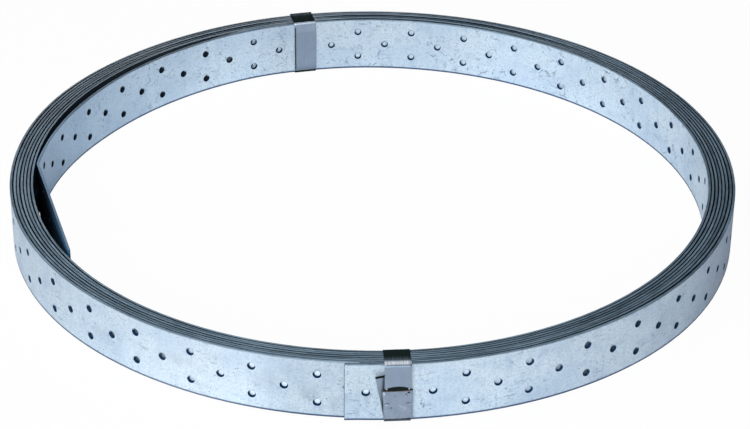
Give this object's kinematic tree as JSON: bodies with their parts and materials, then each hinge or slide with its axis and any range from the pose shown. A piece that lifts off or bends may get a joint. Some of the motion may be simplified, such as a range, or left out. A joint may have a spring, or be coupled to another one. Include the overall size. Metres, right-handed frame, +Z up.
{
  "type": "galvanized perforated strap coil",
  "caption": "Ring-shaped coil of flat galvanized steel strap with round punched holes in three rows, held by two flat steel bands with folded seals.",
  "frame": {"origin": "on the floor under the middle of the coil", "axes": "+Z up along the coil's axis, the strap's outer end at -Y"},
  "size_m": [0.482, 0.4732, 0.0416],
  "materials": {
    "galvanized_strap": "hot-dip galvanized, satin, pale blue-grey with fine spangle and light handling marks",
    "band_steel": "plain steel strapping, grey, finely drawn along its length",
    "seal_steel": "folded sheet steel, grey, satin"
  },
  "bodies": {
    "root": {"strap_coil": "galvanized_strap", "front_band": "band_steel", "front_seal": "seal_steel", "rear_band": "band_steel", "rear_seal": "seal_steel"}
  },
  "joints": []
}
